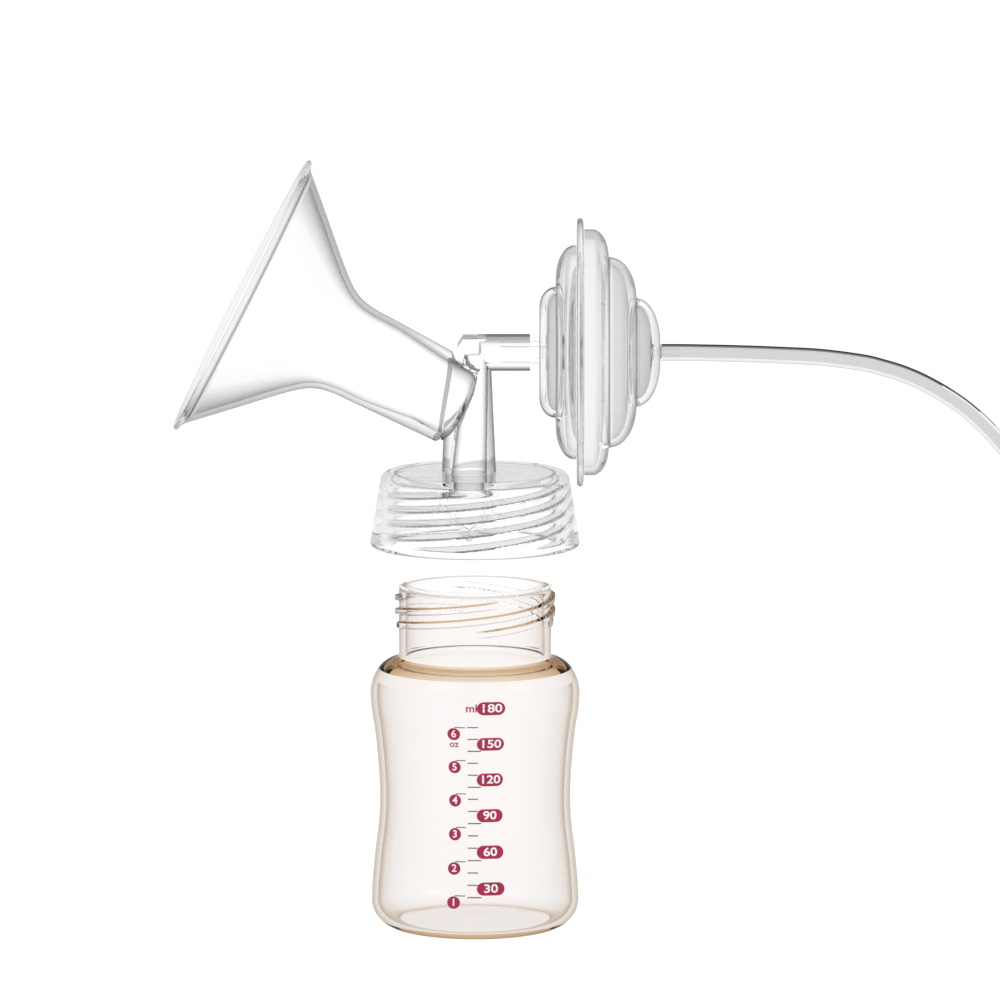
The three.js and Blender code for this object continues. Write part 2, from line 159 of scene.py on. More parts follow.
def turn_matrix(origin=(0, 0, 0), axis=(0, 0, 1)):
    """Takes +Z onto an axis that lies in the XZ plane, and zero to an origin, in millimetres."""
    tilt = math.atan2(axis[0], axis[2])
    return Matrix.Translation(origin) @ Matrix.Rotation(tilt, 4, "Y")


def turned(name, outline, matrix=None, closed=True, relief=None, warp=None, segments=ROUND):
    """An outline turned about an axis. relief(radius, height, angle) gives new radii, and
    warp(x, y, z) new local points."""
    outline = np.asarray(outline, float)
    rows = len(outline)
    angles = np.linspace(0, 2 * math.pi, segments, endpoint=False)
    radius = np.repeat(outline[:, :1], segments, axis=1)
    height = np.repeat(outline[:, 1:], segments, axis=1)
    angle = np.repeat(angles[None, :], rows, axis=0)
    if relief is not None:
        radius = relief(radius, height, angle)
    x, y, z = radius * np.cos(angle), radius * np.sin(angle), height.copy()
    if warp is not None:
        x, y, z = warp(x, y, z)
    points = np.stack([x, y, z], axis=-1).reshape(-1, 3)
    if matrix is not None:
        m = np.array(matrix)
        points = points @ m[:3, :3].T + m[:3, 3]
    on_axis = outline[:, 0] < 1e-6
    last = rows if closed else rows - 1
    faces = []
    for i in range(last):
        k = (i + 1) % rows
        for j in range(segments):
            n = (j + 1) % segments
            a, b, c, d = i * segments + j, i * segments + n, k * segments + n, k * segments + j
            if on_axis[i] and on_axis[k]:
                continue
            if on_axis[i]:
                faces.append((i * segments, c, d))
            elif on_axis[k]:
                faces.append((a, b, k * segments))
            else:
                faces.append((a, b, c, d))
    piece = link(name, points, faces)
    drop_loose(piece)
    return piece


def drop_loose(piece):
    """Deletes the points that no face uses."""
    bm = bmesh.new()
    bm.from_mesh(piece.data)
    bmesh.ops.delete(bm, geom=[v for v in bm.verts if not v.link_faces], context="VERTS")
    bm.to_mesh(piece.data)
    bm.free()


def ring_faces(rings, count):
    """Quads between rings of points, where the last ring joins the first again."""
    faces = []
    for i in range(rings):
        k = (i + 1) % rings
        for j in range(count):
            n = (j + 1) % count
            faces.append((i * count + j, k * count + j, k * count + n, i * count + n))
    return faces


def swept(name, path, outer, bore, sides):
    """A round tube with a bore along a path of points in millimetres, open at both ends."""
    path = np.asarray(path, float)
    count = len(path)
    tangents = np.gradient(path, axis=0)
    tangents /= np.linalg.norm(tangents, axis=1, keepdims=True)
    side = np.cross(tangents[0], (0, 1, 0.01))
    side /= np.linalg.norm(side)
    frames = []
    for tangent in tangents:
        side = side - tangent * side.dot(tangent)
        side /= np.linalg.norm(side)
        frames.append((side, np.cross(tangent, side)))
    angles = np.linspace(0, 2 * math.pi, sides, endpoint=False)

    def skin(radius):
        return np.array([
            [path[i] + radius * (math.cos(a) * u + math.sin(a) * v) for a in angles]
            for i, (u, v) in enumerate(frames)
        ]).reshape(-1, 3)

    base = count * sides  # the bore's first point
    end = (count - 1) * sides
    faces = []
    for i in range(count - 1):
        for j in range(sides):
            n = (j + 1) % sides
            faces.append((i * sides + j, i * sides + n, (i + 1) * sides + n, (i + 1) * sides + j))
    for i in range(count - 1):
        for j in range(sides):
            n = (j + 1) % sides
            a, b = base + i * sides + j, base + i * sides + n
            faces.append((b, a, a + sides, b + sides))
    for j in range(sides):
        n = (j + 1) % sides
        faces.append((base + j, base + n, n, j))
        faces.append((end + j, end + n, base + end + n, base + end + j))
    return link(name, np.vstack([skin(outer), skin(bore)]), faces)


def boolean(piece, other, operation):
    """Joins or cuts a piece by another, which is then gone."""
    modifier = piece.modifiers.new("cut", "BOOLEAN")
    modifier.operation = operation
    modifier.solver = "EXACT"
    modifier.object = other
    graph = bpy.context.evaluated_depsgraph_get()
    mesh = bpy.data.meshes.new_from_object(piece.evaluated_get(graph))
    piece.modifiers.clear()
    old = piece.data
    piece.data = mesh
    bpy.data.meshes.remove(old)
    bpy.data.objects.remove(other)
    mesh.name = piece.name


def on_body(piece, body, slot, material, *nodes):
    """Puts a piece on its body with its material, in place of CAD nodes; the slot is not used."""
    piece.data.materials.clear()
    piece.data.materials.append(material)
    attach(piece, body)
    if nodes:
        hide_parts(*nodes)
    return piece


def use_inside(piece, material, is_inside):
    """Gives another material to the faces that is_inside(middle in millimetres, normal) picks."""
    piece.data.materials.append(material)
    index = len(piece.data.materials) - 1
    for face in piece.data.polygons:
        if is_inside(face.center / MM, face.normal):
            face.material_index = index


# ---------------------------------------------------------------- materials


class Nodes:
    """A material's node tree with short ways to add and join nodes."""

    def __init__(self, name):
        self.material = bpy.data.materials.new(name)
        self.material.use_nodes = True
        self.tree = self.material.node_tree
        self.shader = self.tree.nodes["Principled BSDF"]

    def add(self, kind, **inputs):
        node = self.tree.nodes.new(kind)
        for key, value in inputs.items():
            node.inputs[key.replace("_", " ")].default_value = value
        return node

    def join(self, source, target):
        self.tree.links.new(source, target)

    def set(self, **inputs):
        for key, value in inputs.items():
            self.shader.inputs[key.replace("_", " ")].default_value = value

    def ramp(self, source, stops):
        node = self.tree.nodes.new("ShaderNodeValToRGB")
        elements = node.color_ramp.elements
        while len(elements) < len(stops):
            elements.new(0.5)
        for element, (place, colour) in zip(elements, stops):
            element.position = place
            element.color = (*colour, 1)
        self.join(source, node.inputs[0])
        return node.outputs[0]

    def noise(self, scale, detail=2):
        place = self.add("ShaderNodeTexCoord")
        node = self.add("ShaderNodeTexNoise", Scale=scale, Detail=detail)
        self.join(place.outputs["Object"], node.inputs["Vector"])
        return node.outputs["Fac"]

    def clear(self, ior, rough, wave):
        """Clear plastic's surface: see-through, hardly rough, with a faint moulding wave."""
        self.set(IOR=ior, Transmission_Weight=1.0)
        self.roughness(self.noise(90), *rough)
        self.bump(self.noise(45, 1), wave)

    def roughness(self, source, low, high):
        node = self.add("ShaderNodeMapRange")
        node.inputs["To Min"].default_value = low
        node.inputs["To Max"].default_value = high
        self.join(source, node.inputs["Value"])
        self.join(node.outputs[0], self.shader.inputs["Roughness"])

    def bump(self, source, strength, distance=0.0002):
        node = self.add("ShaderNodeBump", Strength=strength, Distance=distance)
        self.join(source, node.inputs["Height"])
        self.join(node.outputs[0], self.shader.inputs["Normal"])


def clear_material(name, stops, ior, rough=(0.0, 0.015), wave=0.012):
    """Clear moulded plastic or silicone, with painted shade that deepens towards the piece's outlines in
    place of the dark surroundings that refraction would show.
    """
    n = Nodes(name)
    facing = n.add("ShaderNodeLayerWeight", Blend=0.5).outputs["Facing"]
    n.join(n.ramp(facing, stops), n.shader.inputs["Base Color"])
    n.clear(ior, rough, wave)
    return n.material


def outline_shades(levels, places):
    """Grey levels of painted shade for a clear piece, from face on to its outline; places are 1 less the
    cosine.
    """
    return [(place, (level, level, level)) for place, level in zip(places, levels)]


def plain_material(name, dark, light, rough):
    """Opaque plastic or ink, slightly uneven in colour, with a fine grain."""
    n = Nodes(name)
    n.join(n.ramp(n.noise(120), [(0.35, dark), (0.65, light)]), n.shader.inputs["Base Color"])
    n.roughness(n.noise(300), *rough)
    n.bump(n.noise(900, 3), 0.08)
    return n.material


def thread_material(name, near, far):
    """Thread ridges: grey painted shade where they are seen through the wall they stand on."""
    n = Nodes(name)
    side = n.tree.nodes.new("ShaderNodeNewGeometry").outputs["Backfacing"]
    n.join(n.ramp(side, [(0.0, (far, far, far)), (1.0, (near, near, near))]), n.shader.inputs["Base Color"])
    n.clear(1.07, (0.0, 0.03), 0.015)
    return n.material


def one_sided(material, near):
    """Shades a clear material only where it is met from outside."""
    tree = material.node_tree
    shader = tree.nodes["Principled BSDF"]
    tint = shader.inputs["Base Color"].links[0].from_socket
    side = tree.nodes.new("ShaderNodeNewGeometry").outputs["Backfacing"]
    mix = tree.nodes.new("ShaderNodeMix")
    mix.data_type = "RGBA"
    tree.links.new(side, mix.inputs["Factor"])
    colours = [socket for socket in mix.inputs if socket.type == "RGBA"]
    tree.links.new(tint, colours[0])
    colours[1].default_value = (*near, 1)
    outputs = [socket for socket in mix.outputs if socket.type == "RGBA"]
    tree.links.new(outputs[0], shader.inputs["Base Color"])
    return material


# Ramp places for the painted outline shade, by how far in from the outline the darker levels reach.
NARROW = (0.1, 0.5, 0.7, 0.9)
WIDE = (0.1, 0.35, 0.55, 0.8)
WIDEST = (0.08, 0.26, 0.46, 0.7)

# IOR is low, so that the thin walls stay bright over the light table; the grey ramps are painted shade,
# which draws the outlines and, on chosen faces below, paler or darker lines and areas.
CLEAR = clear_material("clear_plastic", outline_shades((0.99, 0.84, 0.4, 0.05), WIDEST), 1.2)
SKIRT = clear_material("skirt_wall", outline_shades((0.96, 0.93, 0.88, 0.7), WIDE), 1.2)
SKIRT_EDGE = clear_material("skirt_edge", outline_shades((0.94, 0.91, 0.85, 0.66), WIDE), 1.04)
PORT = clear_material("port_side", outline_shades((0.99, 0.9, 0.35, 0.05), (0.1, 0.28, 0.48, 0.75)), 1.04)
# Painted shade: the port's upper side is darker, drawing a dark line along its top.
PORT_TOP_SHADE = clear_material("port_top_shade", outline_shades((0.85, 0.3, 0.2, 0.1), (0.1, 0.3, 0.5, 0.75)), 1.04)
PORT_BORE = clear_material("pale_bore", outline_shades((0.97, 0.96, 0.95, 0.93), NARROW), 1.04)
# Painted shade: the chamfer at the tower's top corner is darker.
CORNER_SHADE = clear_material("body_corner_shade", outline_shades((0.9, 0.7, 0.3, 0.03), NARROW), 1.04)
# Painted shade: grey bands on the skirt thread's ridges, and a darker line on their undersides.
THREAD = thread_material("skirt_thread", 0.56, 0.95)
THREAD_UNDERSIDE_SHADE = thread_material("skirt_thread_underside", 0.1, 0.9)

SHIELD_CLEAR = clear_material("shield_plastic", outline_shades((0.99, 0.93, 0.5, 0.03), NARROW), 1.12)
# Painted shade: the tunnel's end face, where the shield meets the cup, is drawn as a dark line.
SEAM_SHADE = clear_material("shield_seam_shade", outline_shades((0.25, 0.22, 0.16, 0.1), NARROW), 1.12)
# Painted shade: a grey band on the shield's lip and a dark line on its back edge where met from outside;
# the low IOR keeps rays from being trapped in the ring.
LIP = clear_material("shield_lip", outline_shades((0.86, 0.8, 0.7, 0.4), NARROW), 1.02, wave=0.0)
LIP_EDGE_SHADE = one_sided(
    clear_material("shield_lip_edge", outline_shades((0.3, 0.26, 0.22, 0.18), NARROW), 1.02), (0.97, 0.97, 0.97),
)

PROTECTOR_CLEAR = clear_material(
    "protector_plastic", outline_shades((0.995, 0.97, 0.4, 0.01), (0.1, 0.6, 0.78, 0.92)), 1.04,
)
# Painted shade: grey on the protector's walls where they face into its chambers, darker on the cap's step
# and darker still in the end chambers.
PROTECTOR_CHAMBER_SHADE = clear_material("protector_chamber_shade", outline_shades((0.82, 0.8, 0.75, 0.62), NARROW), 1.04)
PROTECTOR_STEP_SHADE = clear_material("protector_step_shade", outline_shades((0.66, 0.64, 0.58, 0.48), NARROW), 1.04)
PROTECTOR_END_SHADE = clear_material("protector_end_shade", outline_shades((0.58, 0.56, 0.5, 0.42), NARROW), 1.04)

SILICONE = clear_material("silicone", outline_shades((0.995, 0.985, 0.96, 0.86), NARROW), 1.02, (0.02, 0.05), 0.004)
DOME = clear_material("membrane_dome_silicone", outline_shades((0.95, 0.93, 0.88, 0.75), NARROW), 1.05, (0.03, 0.08))
MEMBRANE = clear_material("membrane_silicone", outline_shades((0.96, 0.9, 0.5, 0.06), NARROW), 1.1, (0.03, 0.08))
TUBE_IOR, TUBE_ROUGH = 1.03, (0.0, 0.04)
TUBE = clear_material(
    "tube_silicone", outline_shades((0.8, 0.78, 0.6, 0.1), (0.05, 0.5, 0.75, 0.9)), TUBE_IOR, TUBE_ROUGH,
)
# Painted shade: the upper side of the tube's level run is darker, a dark line along its top from the side
# and light from above.
TUBE_TOP_SHADE = clear_material(
    "tube_top", outline_shades((0.75, 0.05, 0.02, 0.015), (0.08, 0.28, 0.45, 0.8)), TUBE_IOR, TUBE_ROUGH,
)
TUBE_INSIDE = clear_material("tube_bore", outline_shades((0.76, 0.76, 0.75, 0.72), NARROW), TUBE_IOR, TUBE_ROUGH)

# The bottle's pale cream plastic deepens to amber towards its outline, where light runs longer in the wall;
# beyond that the ramp is painted shade, darkening the outline to near black.
AMBER = clear_material("amber_plastic", [
    (0.1, (0.93, 0.915, 0.91)), (0.33, (0.895, 0.88, 0.872)), (0.5, (0.86, 0.83, 0.81)),
    (0.68, (0.74, 0.66, 0.58)), (0.8, (0.42, 0.27, 0.15)), (0.92, (0.1, 0.04, 0.012)),
], 1.2)
AMBER_PALE_STOPS = [(0.1, (0.95, 0.92, 0.9)), (1.0, (0.88, 0.8, 0.74))]
AMBER_BASE = clear_material("amber_base", AMBER_PALE_STOPS, 1.2)
AMBER_THROAT = clear_material("amber_throat", AMBER_PALE_STOPS, 1.04)
# Painted shade in dark amber on the shoulder's top, the neck thread's upper flanks and the base's edge,
# where light would be trapped in the wall; met from inside they stay pale.
AMBER_SHOULDER_SHADE = one_sided(clear_material("amber_shoulder_shade", [
    (0.1, (0.72, 0.56, 0.34)), (0.5, (0.44, 0.24, 0.1)), (0.8, (0.2, 0.07, 0.02)),
    (1.0, (0.12, 0.035, 0.01)),
], 1.04), (0.92, 0.88, 0.84))

CRIMSON = plain_material("crimson_print", (0.33, 0.0, 0.04), (0.39, 0.002, 0.052), (0.35, 0.5))
PRINT_WHITE = plain_material("white_print", (0.85, 0.82, 0.82), (0.95, 0.93, 0.93), (0.35, 0.5))
PRINT_GREY = plain_material("grey_print", (0.16, 0.12, 0.13), (0.22, 0.17, 0.18), (0.4, 0.5))
WHITE = plain_material("white_plastic", (0.66, 0.66, 0.67), (0.72, 0.72, 0.73), (0.3, 0.42))

# ---------------------------------------------------------------- air tube and its coil

PORT_HEIGHT = 185.8  # of the port, the protector and the tube's outlet
TUBE_RADIUS = 2.7
TUBE_BORE = 1.5  # radius
CONNECTOR_RADIUS = 5.2
coil_low, coil_high = low_high("tube_coil")
coil_x = (coil_low.x + coil_high.x) / 2
coil_y = (coil_low.y + coil_high.y) / 2
coil_radius = (coil_high.x - coil_low.x) / 2 - TUBE_RADIUS - 0.2
coil_floor = coil_low.z + TUBE_RADIUS
coil_top = coil_high.z - TUBE_RADIUS
coil_entry_x = coil_x - coil_radius
OUTLET = low_high("air_tube")[0].x

FREE_RUN = [
    (OUTLET, 0, PORT_HEIGHT), (66, 0, PORT_HEIGHT), (72.5, 0, 185.7), (85.5, 0, 185.4), (98.5, 0, 184.9),
    (111, 0, 184.2), (123.8, 0, 182.5), (130, 0, 181), (136.5, 0, 179), (143, 0, 176.2),
    (149.5, 0, 172.6), (156, 0, 168.2), (162.2, 0, 162.8), (168, 0, 156.6), (175, -0.5, 147.4),
    (182, -2, 135.5), (188.5, -4.5, 121), (193.5, -8, 105), (197, -12, 88), (199.2, -15.8, 70),
    (200.2, -18.6, 52), (coil_entry_x, -19.6, 38), (coil_entry_x, -17.2, 24.5),
    (coil_entry_x, -11.5, 13.5), (coil_entry_x, -3.8, 6.4), (coil_entry_x, 2.1, coil_floor + 0.6),
    (coil_entry_x, 8.1, coil_floor),
]
COIL_TURNS = 3.5
TURN_POINTS = 28


def step_up(value, start, end):
    """Rises smoothly from 0 to 1 between two values."""
    t = min(max((value - start) / (end - start), 0), 1)
    return t * t * (3 - 2 * t)


def coil_points():
    """Turns side by side and on each other: outer, inner, inner on top, outer on top."""
    inner = coil_radius - 2 * TUBE_RADIUS - 0.1
    points = []
    for i in range(1, int(COIL_TURNS * TURN_POINTS) + 1):
        turns = i / TURN_POINTS
        inside = step_up(turns, 0.45, 0.98) - step_up(turns, 2.5, 3.0)
        radius = coil_radius + (inner - coil_radius) * inside
        height = coil_floor + (coil_top - coil_floor) * step_up(turns, 1.6, 1.98)
        angle = math.pi - 2 * math.pi * turns
        points.append((coil_x + radius * math.cos(angle), coil_y + radius * math.sin(angle), height))
    return points


def tail_points():
    """From the coil's top turn down to the plug beside it."""
    x, y = coil_x + coil_radius, low_high("tube_end")[1].y
    plug_height = CONNECTOR_RADIUS + 0.1
    return [
        (x, y, coil_top - 0.2), (x + 0.4, y - 10, coil_top - 1.5),
        (x + 1, y - 22, plug_height + 0.5), (x + 1.2, y - 34, plug_height),
    ]


def make_cord():
    """The tube from the protector's outlet to its plug, and its centreline."""
    route = [*FREE_RUN, (coil_entry_x, coil_y - 10, coil_floor), (coil_entry_x, coil_y, coil_floor)]
    route += coil_points()
    route += tail_points()
    path = smooth_line(route, 5)
    return swept("air_tube_run", path, TUBE_RADIUS, TUBE_BORE, 32), path


def make_plug(end):
    """The plug on the tube's far end: a ribbed grip, a shoulder and a tapered nozzle."""
    r = CONNECTOR_RADIUS
    grip = []
    for ridge in range(3):
        z = 1.8 + ridge * 1.8
        grip += [(r, z), (r, z + 1.1), (r - 0.45, z + 1.3), (r - 0.45, z + 1.7)]
    outline = run(
        (1.5, 0), (r - 1.4, 0), arc((r - 1.4, 1.2), (1.2, 1.2), -90, 0, 4), grip, (r, 7.2),
        arc((r - 0.4, 7.1), (0.4, 0.4), 0, 90, 3), (3.4, 7.5), (3.35, 7.9), (2.85, 14.4),
        arc((2.3, 14.5), (0.5, 0.5), 0, 90, 3), (1.5, 15),
    )
    matrix = Matrix.Translation((end[0], end[1] - 0.3, r + 0.1)) @ Matrix.Rotation(math.pi / 2, 4, "X")
    return turned("pump_plug", outline, matrix, segments=64)


def make_tie():
    """A soft band round the coil's turns, with rounded edges."""
    angle = math.radians(-60)
    half_width, thickness = 4, 0.55
    inner, outer, top = coil_radius - 8.6, coil_radius + 3.2, coil_high.z + 0.3
    corner = 2.2
    loop = run(
        arc((outer - corner, corner), (corner, corner), -90, 0, 8),
        arc((outer - corner, top + 0.5 - corner), (corner, corner), 0, 90, 8),
        arc((inner + corner, top + 0.5 - corner), (corner, corner), 90, 180, 8),
        arc((inner + corner, corner), (corner, corner), 180, 270, 8),
    )
    ring = np.vstack([loop, loop[:1]])
    inside = inward(ring, thickness)[:-1]
    middle = Vector((math.cos(angle), math.sin(angle), 0))
    across = Vector((-math.sin(angle), math.cos(angle), 0))
    edges = (-1, -0.8, 0.8, 1)
    rings = [(loop, edge) for edge in edges] + [(inside, edge) for edge in reversed(edges)]
    points = []
    for ring_points, edge in rings:
        for r, z in ring_points:
            place = middle * float(r) + across * (edge * half_width)
            points.append((coil_x + place.x, coil_y + place.y, float(z)))
    return link("coil_band", points, ring_faces(len(rings), len(loop)))


cord_tube, cord_path = make_cord()
plug = make_plug(tail_points()[-1])
band = make_tie()


def in_tube_bore(p, n):
    """The bore's faces, which look towards the tube's centreline."""
    near = cord_path[np.argmin(((cord_path - np.array(p)) ** 2).sum(1))]
    return n.dot(Vector(near) - p) > 0


def on_tube_top(p, n):
    """The upper side of the tube's level part, which gets painted shade."""
    level_part = p.x < 190 and p.z > 100
    return level_part and n.z > 0.66 and not in_tube_bore(p, n)


on_body(cord_tube, "protector_cap", "tube_silicone", TUBE, "air_tube", "tube_coil", "tube_end")
use_inside(cord_tube, TUBE_INSIDE, in_tube_bore)
use_inside(cord_tube, TUBE_TOP_SHADE, on_tube_top)
on_body(plug, "protector_cap", "white_trim", WHITE, "pump_connector")
on_body(band, "protector_cap", "white_trim", WHITE, "tube_tie")

# ---------------------------------------------------------------- bottle

BOTTLE_WALL = 2.0
FLOOR_RADIUS = 24.4  # of the flat part
NECK_RADIUS = 24.4
NECK_FOOT = 87.5
BULGE = 33.6
LEAD = 17.6  # of the neck's thread, a turn
STARTS = 4
RIDGE_HALF_WIDTH = 1.25
bottle_top = low_high("bottle")[1].z


def thread_relief(first, base, sweep, ridge, has_thread):
    """Radii with a multi-start thread's ridges added where has_thread(radius, height) says so;
    a ridge stands outwards if it is above zero, and fades in and out at its ends."""

    def relief(radius, height, angle):
        out = np.zeros_like(radius)
        full = 2 * math.pi
        for start in range(STARTS):
            along = (angle - first - full * start / STARTS) % full
            for winding in range(int(sweep // full) + 1):
                turn = along + winding * full
                level = base + LEAD * turn / full
                across = np.abs(height - level) / RIDGE_HALF_WIDTH
                shape = np.clip(1.35 - 1.35 * across ** 2.2, 0, 1)
                shape = shape * shape * (3 - 2 * shape)
                fade = np.clip(np.minimum(turn, sweep - turn) / 0.22, 0, 1)
                out = np.maximum(out, shape * fade ** 0.7 * (turn <= sweep))
        return radius + ridge * out * has_thread(radius, height)

    return relief


def bottle_outline():
    """The outside from the base's centre to the neck's foot."""
    corner = 9
    belly = smooth_line([
        (33.3, 9), (33.0, 15), (32.1, 24.5), (30.95, 34), (30.6, 43.5), (31.15, 54), (32.1, 63.5),
        (33.2, 70.5), (BULGE, 75.5),
    ], 6)
    shoulder = run(
        arc((BULGE - 8.2, 75.5), (8.2, 11.4), 0, 78, 16)[1:],
        arc((NECK_RADIUS + 1.4, NECK_FOOT + 1.0), (1.4, 1.6), 250, 180, 6),
    )
    return run(
        (0, 0), (12, 0), (23.8, 0), arc((33.3 - corner, corner), (corner, corner), -90, 0, 18),
        belly[1:], shoulder,
    )


def make_bottle():
    """The bottle's shell, with the thread on its neck."""
    outside = bottle_outline()
    neck = run(line((NECK_RADIUS, NECK_FOOT + 1.6), (NECK_RADIUS, bottle_top - 0.8), 110))
    lip = arc((NECK_RADIUS - 0.8, bottle_top - 0.8), (0.8, 0.8), 0, 90, 5)
    inner_lip = arc((NECK_RADIUS - 1.4, bottle_top - 0.6), (0.6, 0.6), 90, 180, 4)
    inside = inward(outside, BOTTLE_WALL)[::-1]
    inside = inside[(inside[:, 1] < 75.4) & (inside[:, 0] > 0.1)]
    throat = run(
        (NECK_RADIUS - 2, NECK_FOOT + 1.5),
        arc((25.0, NECK_FOOT), (2.6, 2.6), 180, 270, 8),
        arc((25.4, 75.5), (6.2, 9.4), 86, 4, 14),
    )
    floor = [(0, BOTTLE_WALL)]
    outline = run(outside, neck, lip, inner_lip, throat, inside, floor)

    def on_neck(radius, height):
        return (radius > NECK_RADIUS - 0.05) & (height > NECK_FOOT + 2)

    relief = thread_relief(0, 98.0, math.radians(200), 1.35, on_neck)
    return turned("bottle_shell", outline, closed=False, relief=relief, segments=220)


def shoulder_shade_face(p, n):
    """The faces that get painted shade: the shoulder's top, the thread's upper flanks and the base's edge.
    """
    off = math.hypot(p.x, p.y)
    outer = p.x * n.x + p.y * n.y > -0.02 * off
    least_up = 0.3 if p.z < NECK_FOOT + 3.5 else 0.6
    top = outer and p.z > 80 and NECK_RADIUS - 0.2 < off < 31 and n.z > least_up
    return top or (p.z < 3.4 and off > FLOOR_RADIUS and -0.99 < n.z < -0.68)


def floor_face(p, n):
    """The floor's flat, inside and underneath."""
    return abs(n.z) > 0.95 and p.z < 3 and math.hypot(p.x, p.y) < FLOOR_RADIUS


def throat_face(p, n):
    """The inside of the shoulder and of the neck's foot."""
    off = math.hypot(p.x, p.y)
    return 79.5 < p.z < 90 and off < 31.2 and p.x * n.x + p.y * n.y < 0.02 * off


bottle = on_body(make_bottle(), "bottle", "amber_bottle", AMBER, "bottle")
use_inside(bottle, AMBER_SHOULDER_SHADE, shoulder_shade_face)
use_inside(bottle, AMBER_BASE, floor_face)
use_inside(bottle, AMBER_THROAT, throat_face)


def make_seal():
    """The ring that seals the neck against the pump body."""
    low, high = low_high("bottle_seal")
    middle = (low.z + high.z) / 2
    half = (high.z - low.z) / 2
    outline = run(
        arc((24.6 - half, middle), (half, half), -90, 90, 6),
        arc((21.4 + half, middle), (half, half), 90, 270, 6),
    )
    return turned("neck_gasket", outline)


on_body(make_seal(), "neck_seal", "clear_silicone", SILICONE, "bottle_seal")

# ---------------------------------------------------------------- printed scale


def radius_at(outline, height):
    """The bottle's outer radius at a height."""
    part = outline[(outline[:, 0] > 20)]
    order = np.argsort(part[:, 1])
    return np.interp(height, part[order, 1], part[order, 0])


PRINT_LIFT = 0.06
PRINT_BEND = 31.5  # mean radius of the wall under the print


def wrap(name, flat_points, faces, lift):
    """A flat drawing, x along the surface and z up, laid on the bottle's front."""
    outline = bottle_outline()
    flat_points = np.asarray(flat_points, float)
    radius = radius_at(outline, flat_points[:, 1]) + lift
    angle = flat_points[:, 0] / PRINT_BEND
    points = np.column_stack([radius * np.sin(angle), -radius * np.cos(angle), flat_points[:, 1]])
    return link(name, points, faces, smooth=False)


def pill(centre, width, height, pieces=10):
    """A filled rounded bar as rows of quads, so that it bends with the bottle."""
    r = height / 2
    half = width / 2 - r
    columns = np.concatenate([
        centre[0] - half - r * np.cos(np.linspace(0, math.pi / 2, pieces)),
        np.linspace(centre[0] - half, centre[0] + half, 8)[1:-1] if half > 0.1 else [],
        centre[0] + half + r * np.sin(np.linspace(0, math.pi / 2, pieces)),
    ])
    reach = np.clip(np.abs(columns - centre[0]) - half, 0, r)
    rise = np.sqrt(np.maximum(r * r - reach * reach, 1e-6))
    points, faces = [], []
    for x, h in zip(columns, rise):
        points += [(x, centre[1] - h), (x, centre[1]), (x, centre[1] + h)]
    for i in range(len(columns) - 1):
        for k in range(2):
            a = 3 * i + k
            faces.append((a, a + 3, a + 4, a + 1))
    return points, faces


def bar(x0, x1, z, thickness, pieces=6):
    """A level tick."""
    points, faces = [], []
    for x in np.linspace(x0, x1, pieces + 1):
        points += [(x, z - thickness / 2), (x, z + thickness / 2)]
    for i in range(pieces):
        faces.append((2 * i, 2 * i + 2, 2 * i + 3, 2 * i + 1))
    return points, faces


def lettering(text, centre, size, stretch=1.0):
    """Text as a flat mesh, centred on a point."""
    curve = bpy.data.curves.new("digits", "FONT")
    curve.body = text
    curve.align_x = "CENTER"
    curve.align_y = "CENTER"
    curve.size = size
    curve.offset = size * 0.018
    curve.resolution_u = 6
    holder = bpy.data.objects.new("digits", curve)
    bpy.context.scene.collection.objects.link(holder)
    graph = bpy.context.evaluated_depsgraph_get()
    mesh = bpy.data.meshes.new_from_object(holder.evaluated_get(graph))
    points = [(v.co.x * stretch + centre[0], v.co.y + centre[1]) for v in mesh.vertices]
    faces = [tuple(f.vertices) for f in mesh.polygons]
    bpy.data.objects.remove(holder)
    bpy.data.meshes.remove(mesh)
    return points, faces


def gather(shapes):
    """Several flat shapes as one."""
    points, faces = [], []
    for shape_points, shape_faces in shapes:
        base = len(points)
        points += list(shape_points)
        faces += [tuple(base + i for i in face) for face in shape_faces]
    return points, faces


SCALE = {
    "first": 17.7, "spacing": 11.65, "pill_x": 4.9, "pill_width": 8.6, "pill_height": 4.2,
    "ounce_x": -6.5, "ounce_width": 4.0, "ounce_spacing": 10.86, "ounce_first": 13.3,
    "tick_first": 15.0, "ticks": 15, "tick_spacing": 3.92,
}


